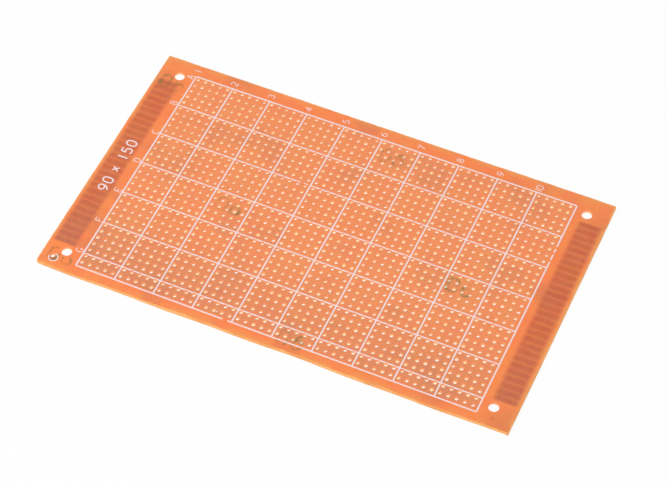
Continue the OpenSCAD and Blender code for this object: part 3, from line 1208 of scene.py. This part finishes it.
def ink_strokes_tree():
    """Lays a low, ragged bead of ink along every stroke, cut off where a lead hole takes it."""
    nodes, given, result = geometry_tree(
        "Ink Strokes",
        width=0.4 * MM,
        thickness=PRINT_HIGH.z - PRINT_LOW.z,
        spacing=0.2 * MM,
        ragged=0.12,
        wander=0.03 * MM,
        level=PRINT_LOW.z,
        pitch=PITCH,
        hole_radius=LEAD_RADIUS + 0.03 * MM,
        steepest=-2.0,
        field_low=FIELD_LOW,
        field_size=FIELD_SIZE,
        ink="ink",
    )
    line = nodes.make("GeometryNodeMeshToCurve", {"Mesh": given["Geometry"]})
    feeds = {"Curve": line, "Length": given["Spacing"]}
    line = nodes.make("GeometryNodeResampleCurve", feeds, mode="LENGTH")
    place = nodes.scale(nodes.place(), 1 / MM)
    feeds = {"Vector": place, "Scale": 0.8, "Detail": 2.0}
    drift = nodes.add("ShaderNodeTexNoise", feeds).outputs["Color"]
    x, y, _ = nodes.split(nodes.vector("SUBTRACT", drift, (0.5, 0.5, 0.5)))
    twice = nodes.times(given["Wander"], 2.0)
    line = nodes.move(line, Offset=nodes.scale(nodes.combine(x, y, 0.0), twice))

    # Full width along the stroke, with a round end
    along = nodes.add("GeometryNodeSplineParameter").outputs["Length"]
    whole = nodes.add("GeometryNodeSplineLength").outputs["Length"]
    from_end = nodes.math("MINIMUM", along, nodes.minus(whole, along))
    half = nodes.times(given["Width"], 0.5)
    short = nodes.math("SUBTRACT", 1.0, nodes.over(from_end, half), clamp=True)
    dome = nodes.math("SQRT", nodes.minus(1.02, nodes.times(short, short)))
    cyclic = nodes.make("GeometryNodeInputSplineCyclic")
    dome = nodes.math("MAXIMUM", dome, cyclic)
    uneven = nodes.minus(nodes.noise(place, 1.9, 3.0), 0.5)
    swing = nodes.times(given["Ragged"], 4.0)
    girth = nodes.times(dome, nodes.stretch(uneven, swing, 1.0))

    # The bead's section: flat below, with its upper corners cut
    rise = nodes.times(given["Thickness"], -1.0)
    corners = ((1.0, 0.0), (-1.0, 0.0), (-0.8, 0.8), (0.0, 1.0), (0.8, 0.8))
    index = nodes.make("GeometryNodeInputIndex")
    halves = []
    for axis in (0, 1):
        switch = nodes.add("GeometryNodeIndexSwitch", data_type="FLOAT")
        while len(switch.index_switch_items) < len(corners):
            switch.index_switch_items.new()
        nodes.feed(switch.inputs["Index"], index)
        for step, corner in enumerate(corners):
            switch.inputs[1 + step].default_value = corner[axis]
        halves.append(switch.outputs[0])
    across, above = halves
    outline = nodes.combine(nodes.times(across, half), nodes.times(above, rise), 0.0)
    section = nodes.move(nodes.circle(len(corners), 1.0), Position=outline)
    feeds = {"Curve": line, "Profile Curve": section, "Scale": girth, "Fill Caps": True}
    bead = nodes.make("GeometryNodeCurveToMesh", feeds)

    # No bead stands higher than the ink is thick
    x, y, z = nodes.split(nodes.place())
    capped = nodes.combine(x, y, nodes.math("MINIMUM", z, given["Thickness"]))
    bead = nodes.move(bead, Position=capped)

    # What would lie over a lead hole is pushed back to the hole's edge
    flat = nodes.combine(x, y, 0.0)
    from_low = nodes.vector("SUBTRACT", flat, given["Field low"])
    cells = nodes.scale(from_low, nodes.over(1.0, given["Pitch"]))
    middle = nodes.vector("ADD", nodes.vector("FLOOR", cells), (0.5, 0.5, 0.0))
    centre = nodes.vector("ADD", nodes.scale(middle, given["Pitch"]), given["Field low"])
    away = nodes.vector("SUBTRACT", flat, nodes.vector("MULTIPLY", centre, (1, 1, 0)))
    gap = nodes.vector("LENGTH", away)
    x, y, _ = nodes.split(from_low)
    size_x, size_y, _ = nodes.split(given["Field size"])
    inside = nodes.math("LESS_THAN", gap, given["Hole radius"])
    for value, size in ((x, size_x), (y, size_y)):
        inside = nodes.times(inside, nodes.math("GREATER_THAN", value, 0.0))
        inside = nodes.times(inside, nodes.math("LESS_THAN", value, size))
    push = nodes.scale(away, nodes.minus(nodes.over(given["Hole radius"], gap), 1.0))
    bead = nodes.move(bead, Selection=inside, Offset=push)
    bead = nodes.lift(bead, given["Level"])

    # A stain in the sheet keeps its upper side only
    upward = nodes.split(nodes.make("GeometryNodeInputNormal"))[2]
    lower = nodes.math("LESS_THAN", upward, given["Steepest"])
    feeds = {"Geometry": bead, "Selection": lower}
    bead = nodes.make("GeometryNodeDeleteGeometry", feeds, domain="FACE")
    bead = nodes.coat(nodes.smooth(bead), given["Ink"])
    nodes.feed(result, nodes.realize(bead))
    return nodes.tree


def lay_ink(context, name, strokes, width, *replaced, material=ink_material, **values):
    """Makes one printed piece from its strokes."""
    settings = context.scene.board_print
    label = {ink_material: "Marking Ink", stamp_material: "Faded Sheet Stamp"}[material]
    tree = shared_tree("Ink Strokes", ink_strokes_tree)
    ink = bpy.data.materials.get(label) or material(settings)
    piece = grow(name, tree, stroke_mesh(name, strokes), width=width, ink=ink, **values)
    seat(piece, "ink", *replaced)


def line_places(settings):
    """Where the printed grid's lines run: across the board, and along it from the back."""
    half = settings.line_width / 2
    left, right = PRINT_LOW.x + half, PRINT_HIGH.x - half
    front, back = PRINT_LOW.y + half, PRINT_HIGH.y - half
    columns = [left + step * SQUARE for step in range(COLUMNS // SQUARE_HOLES)]
    inner_back = front + ROWS * PITCH
    rows = [inner_back - step * SQUARE for step in range(1, ROWS // SQUARE_HOLES + 1)]
    return [*columns, right], [back, *rows, front]


# How far a row's letter is set off its line and a column's number off its own, in millimetres
LETTER_SHIFTS = {0: -0.85, 1: 0.35, 3: 0.3, 4: 0.25, 5: 0.5, 6: 0.45}
NUMBER_SHIFTS = {8: (0.4, 0.1), 9: (0.6, -0.65)}

# How far the letters stand off the print's left line and each number off its place on the back
# line, in millimetres, and where the middle of the size is
LETTER_OFFSET = -1.58
NUMBER_OFFSET = (-0.35, 2.1)
SIZE_PLACE = (-69.4 * MM, -2.0 * MM)

# Where the screen left no ink: line, then from and to along it, in millimetres
ROW_GAPS = {7: [(48.0, 49.4)], 2: [(47.5, 48.6), (50.0, 50.9)]}
COLUMN_GAPS = {10: [(17.2, 17.9), (19.6, 20.2), (22.6, 23.1)]}

# Specks of stray ink: their places from the print's front left corner, and how each one runs
SPECKS = ((6.0, 57.2), (72.4, 21.3), (45.0, 1.7))
SPECK = Vector((0.5, 0.2)) * MM


def broken(length_mm, gaps):
    """The stretches that gaps leave of a length, in millimetres."""
    ends = [0.0] + [end for gap in gaps for end in gap] + [length_mm]
    return list(zip(ends[::2], ends[1::2]))


class BOARD_OT_printed_grid(bpy.types.Operator):
    """Print the grid of squares over the hole field"""

    bl_idname = "board.printed_grid"
    bl_label = "Printed Grid"

    def execute(self, context):
        settings = context.scene.board_print
        columns, rows = line_places(settings)
        wide, deep = (columns[-1] - columns[0]) / MM, (rows[0] - rows[-1]) / MM
        strokes = []
        for index, x in enumerate(columns):
            for start, end in broken(deep, COLUMN_GAPS.get(index, [])):
                strokes.append([(x, rows[0] - start * MM), (x, rows[0] - end * MM)])
        for index, y in enumerate(rows):
            for start, end in broken(wide, ROW_GAPS.get(index, [])):
                strokes.append([(columns[0] + start * MM, y), (columns[0] + end * MM, y)])
        for x, y in SPECKS:
            spot = Vector((columns[0] + x * MM, rows[-1] + y * MM))
            strokes.append([tuple(spot), tuple(spot + SPECK)])
        lay_ink(context, "printed_grid", strokes, settings.line_width, "grid_print")
        return {"FINISHED"}


class BOARD_OT_tooling_ring(bpy.types.Operator):
    """Print the ring round the tooling hole"""

    bl_idname = "board.tooling_ring"
    bl_label = "Tooling Ring"

    def execute(self, context):
        radius = (RING_HIGH.x - RING_LOW.x) / 2 - RING_LINE / 2
        gap = TOOLING_CENTRE - RING_CENTRE
        clear = TOOLING_RADIUS + 0.1 * MM
        cosine = (radius**2 + gap.length**2 - clear**2) / (2 * radius * gap.length)
        reach = math.degrees(math.acos(cosine))
        towards = math.degrees(math.atan2(gap.y, gap.x))
        start, end = towards + reach, towards + 360 - reach
        stroke = arc(*RING_CENTRE.xy, radius, radius, start, end, steps=40)
        fine = {"wander": 0.01 * MM, "ragged": 0.06}
        lay_ink(context, "printed_ring", [stroke], RING_LINE, "ring_print", **fine)
        return {"FINISHED"}


class BOARD_OT_printed_characters(bpy.types.Operator):
    """Print the row letters, the column numbers and the size"""

    bl_idname = "board.printed_characters"
    bl_label = "Letters and Numbers"

    def execute(self, context):
        settings = context.scene.board_print
        columns, rows = line_places(settings)
        letters, numbers = [], []
        for index, y in enumerate(rows[:-1]):
            place = (columns[0] + LETTER_OFFSET * MM, y + LETTER_SHIFTS.get(index, 0.0) * MM)
            letters += lettering(chr(ord("A") + index), place, settings.letter_height)
        for index, x in enumerate(columns[:-1]):
            shift_x, shift_y = NUMBER_SHIFTS.get(index, (0.0, 0.0))
            across, along = shift_x + NUMBER_OFFSET[0], shift_y + NUMBER_OFFSET[1]
            place = (x + across * MM, rows[0] + along * MM)
            numbers += lettering(str(index + 1), place, settings.number_height, advance=0.68)
        size = lettering("90 x 150", SIZE_PLACE, settings.size_height, advance=0.97)
        line = settings.character_width
        fine = {"spacing": 0.12 * MM, "wander": 0.02 * MM}
        lay_ink(context, "printed_letters", letters, line, **fine)
        lay_ink(context, "printed_numbers", numbers, line, **fine)
        lay_ink(context, "printed_size", size, settings.size_line, **fine)
        return {"FINISHED"}


# The raw sheet is stamped over and over in staggered rows: the first place and the step
STAMP_START = Vector((-68.9, 34.8)) * MM
STAMP_STEP = 37.4 * MM
STAMP_ROWS = 3
STAMP_COLUMNS = 4


def clear_of_holes(stroke, margin):
    """The parts of a stroke that lie on the sheet and off its corner holes and its tooling hole."""
    half = Vector(MOUNT_SPACING) / 2
    spacing = 0.2 * MM
    holes = [(TOOLING_CENTRE.xy, TOOLING_RADIUS)]
    for side in ((-1, -1), (1, -1), (1, 1), (-1, 1)):
        holes.append((MOUNT_CENTRE.xy + half * Vector(side), MOUNT_RADIUS))
    parts, part = [], []
    for start, end in zip(stroke, stroke[1:]):
        start, end = Vector(start), Vector(end)
        count = max(1, round((end - start).length / spacing))
        for step in range(count + 1):
            place = start.lerp(end, step / count)
            on_sheet = max(abs(place.x) - SHEET_HIGH.x, abs(place.y) - SHEET_HIGH.y) < -MM
            clear = all((place - centre).length > radius + margin for centre, radius in holes)
            if on_sheet and clear:
                if not part or part[-1] != tuple(place):
                    part.append(tuple(place))
            elif part:
                parts.append(part)
                part = []
    parts.append(part)
    return [part for part in parts if len(part) > 2]


class BOARD_OT_sheet_stamps(bpy.types.Operator):
    """Stamp plain figures on the raw sheet, in staggered rows"""

    bl_idname = "board.sheet_stamps"
    bl_label = "Sheet Stamps"

    def execute(self, context):
        settings = context.scene.board_print
        strokes = []
        for row in range(STAMP_ROWS):
            for step in range(row % 2, STAMP_COLUMNS, 2):
                middle = STAMP_START + Vector((step * STAMP_STEP, -row * STAMP_STEP))
                for stroke in lettering("06", (0, 0), settings.stamp_height, advance=0.9):
                    strokes.append([(middle.x + y, middle.y - x) for x, y in stroke])
        line = settings.stamp_line
        strokes = [part for stroke in strokes for part in clear_of_holes(stroke, line / 2)]
        stain = {"thickness": STAMP_DEPTH, "ragged": 0.1, "steepest": 0.5}
        lay_ink(context, "sheet_stamps", strokes, line, material=stamp_material, **stain)
        return {"FINISHED"}


# ---------------------------------------------------------------- stage


def white_to_camera(nodes, lit, white):
    """The white shader for the camera, for gloss and for glass, and the lit one for the rest."""
    path = nodes.add("ShaderNodeLightPath").outputs
    seen = nodes.math("MAXIMUM", path["Is Camera Ray"], path["Is Glossy Ray"])
    seen = nodes.math("MAXIMUM", seen, path["Is Transmission Ray"])
    return nodes.blend(seen, lit, white)


def make_floor(settings):
    """A pale floor, white to the camera but for the board's shadow, and clear from below."""
    half = 3.0
    gap = 0.05 * MM
    level = CAD_BOX[0].z - gap
    mesh = bpy.data.meshes.new("floor")
    corners = [(-half, -half), (half, -half), (half, half), (-half, half)]
    mesh.from_pydata([(x, y, level) for x, y in corners], [], [(0, 1, 2, 3)])
    floor = add_object("floor", mesh)
    material = bpy.data.materials.new("Pale Floor")
    material.use_nodes = True
    nodes = Nodes(material.node_tree)
    material.node_tree.nodes.clear()
    matt = nodes.make("ShaderNodeBsdfDiffuse", {"Color": (0.95, 0.95, 0.95, 1)})

    # Under the field of holes the floor is lit through the sheet
    place = object_place(nodes)
    x, y, _ = nodes.split(nodes.vector("SUBTRACT", place, FIELD_CENTRE / MM))
    across = soft_stripe(nodes, x, FIELD_SIZE.x / 2 / MM, 0.5)
    along = soft_stripe(nodes, y, FIELD_SIZE.y / 2 / MM, 0.5)
    uneven = nodes.ramp(nodes.noise(place, 0.4, 2.0), 0.4, 0.6)
    under = nodes.times(nodes.times(across, along), uneven)
    shown = nodes.mix(under, (1, 1, 1), settings.filtered_colour)
    glow = nodes.make("ShaderNodeEmission", {"Color": shown, "Strength": 1.0})
    white = nodes.blend(settings.floor_glow, matt, glow)
    behind = nodes.add("ShaderNodeNewGeometry").outputs["Backfacing"]
    clear = nodes.make("ShaderNodeBsdfTransparent")
    surface = nodes.blend(behind, white_to_camera(nodes, matt, white), clear)
    nodes.add("ShaderNodeOutputMaterial", {"Surface": surface})
    mesh.materials.append(material)


def make_sky(settings):
    """White all round for the camera, and plain soft light for the board."""
    world = bpy.data.worlds.new("Soft Sky")
    world.use_nodes = True
    bpy.context.scene.world = world
    nodes = Nodes(world.node_tree)
    world.node_tree.nodes.clear()
    lit, white = [
        nodes.make("ShaderNodeBackground", {"Color": (1, 1, 1, 1), "Strength": level})
        for level in (settings.sky_level, 1.0)
    ]
    nodes.add("ShaderNodeOutputWorld", {"Surface": white_to_camera(nodes, lit, white)})


def make_softbox(settings):
    """One broad softbox above the front left of the board."""
    place = Vector((-0.35, -0.45, 0.75))
    light = bpy.data.lights.new("softbox", "AREA")
    light.shape = "SQUARE"
    light.size = 0.5

    # The power that makes a level white face in the board's middle as bright as the setting says
    steepness = place.normalized().z
    light.energy = settings.softbox_level * math.pi**2 * place.length_squared / steepness
    lamp = add_object("softbox", light)
    lamp.location = place
    lamp.rotation_euler = (-place).to_track_quat("-Z", "Y").to_euler()


def make_camera(settings):
    """A long lens that looks down on the board from the front right."""
    camera = bpy.data.cameras.new("camera")
    camera.lens = settings.focal_length
    camera.sensor_width = 36
    camera.clip_start, camera.clip_end = 0.05, 20
    azimuth, elevation = settings.azimuth, settings.elevation
    level = math.cos(elevation)
    back = Vector((math.sin(azimuth) * level, -math.cos(azimuth) * level, math.sin(elevation)))
    aim = Vector((*settings.aim, SHEET_HIGH.z))
    turn = back.to_track_quat("Z", "Y").to_matrix() @ Matrix.Rotation(settings.roll, 3, "Z")
    viewer = add_object("camera", camera)
    viewer.matrix_world = Matrix.Translation(aim + back * settings.distance) @ turn.to_4x4()
    bpy.context.scene.camera = viewer


class BOARD_OT_stage(bpy.types.Operator):
    """Set up the camera, the floor and the lights"""

    bl_idname = "board.stage"
    bl_label = "Stage"

    def execute(self, context):
        settings = context.scene.board_stage
        context.scene.view_settings.view_transform = "Standard"
        make_camera(settings)
        make_floor(settings)
        make_sky(settings)
        make_softbox(settings)
        return {"FINISHED"}


# ---------------------------------------------------------------- add-on

SETTINGS = {
    "board_sheet": SheetSettings,
    "board_copper": CopperSettings,
    "board_print": PrintSettings,
    "board_stage": StageSettings,
}
OPERATORS = (
    BOARD_OT_phenolic_sheet,
    BOARD_OT_copper_rings,
    BOARD_OT_copper_fingers,
    BOARD_OT_registration_dot,
    BOARD_OT_printed_grid,
    BOARD_OT_tooling_ring,
    BOARD_OT_printed_characters,
    BOARD_OT_sheet_stamps,
    BOARD_OT_stage,
)


class BOARD_PT_panel(bpy.types.Panel):
    """Lists the board's sizes, colours and pieces"""

    bl_idname = "BOARD_PT_panel"
    bl_label = "Prototype Board"
    bl_space_type = "VIEW_3D"
    bl_region_type = "UI"
    bl_category = "Board"

    def draw(self, context):
        for name, group in SETTINGS.items():
            box = self.layout.box()
            box.label(text=group.__doc__.rstrip("."))
            for field in group.__annotations__:
                box.prop(getattr(context.scene, name), field)
        for operator in OPERATORS:
            self.layout.operator(operator.bl_idname)


def register():
    for item in (*SETTINGS.values(), *OPERATORS, BOARD_PT_panel):
        bpy.utils.register_class(item)
    for name, group in SETTINGS.items():
        setattr(bpy.types.Scene, name, PointerProperty(type=group))


def unregister():
    for name in SETTINGS:
        delattr(bpy.types.Scene, name)
    for item in reversed((*SETTINGS.values(), *OPERATORS, BOARD_PT_panel)):
        bpy.utils.unregister_class(item)


def main():
    """Builds every piece in order."""
    register()
    for operator in OPERATORS:
        family, name = operator.bl_idname.split(".")
        getattr(getattr(bpy.ops, family), name)()


if __name__ == "__main__":
    main()
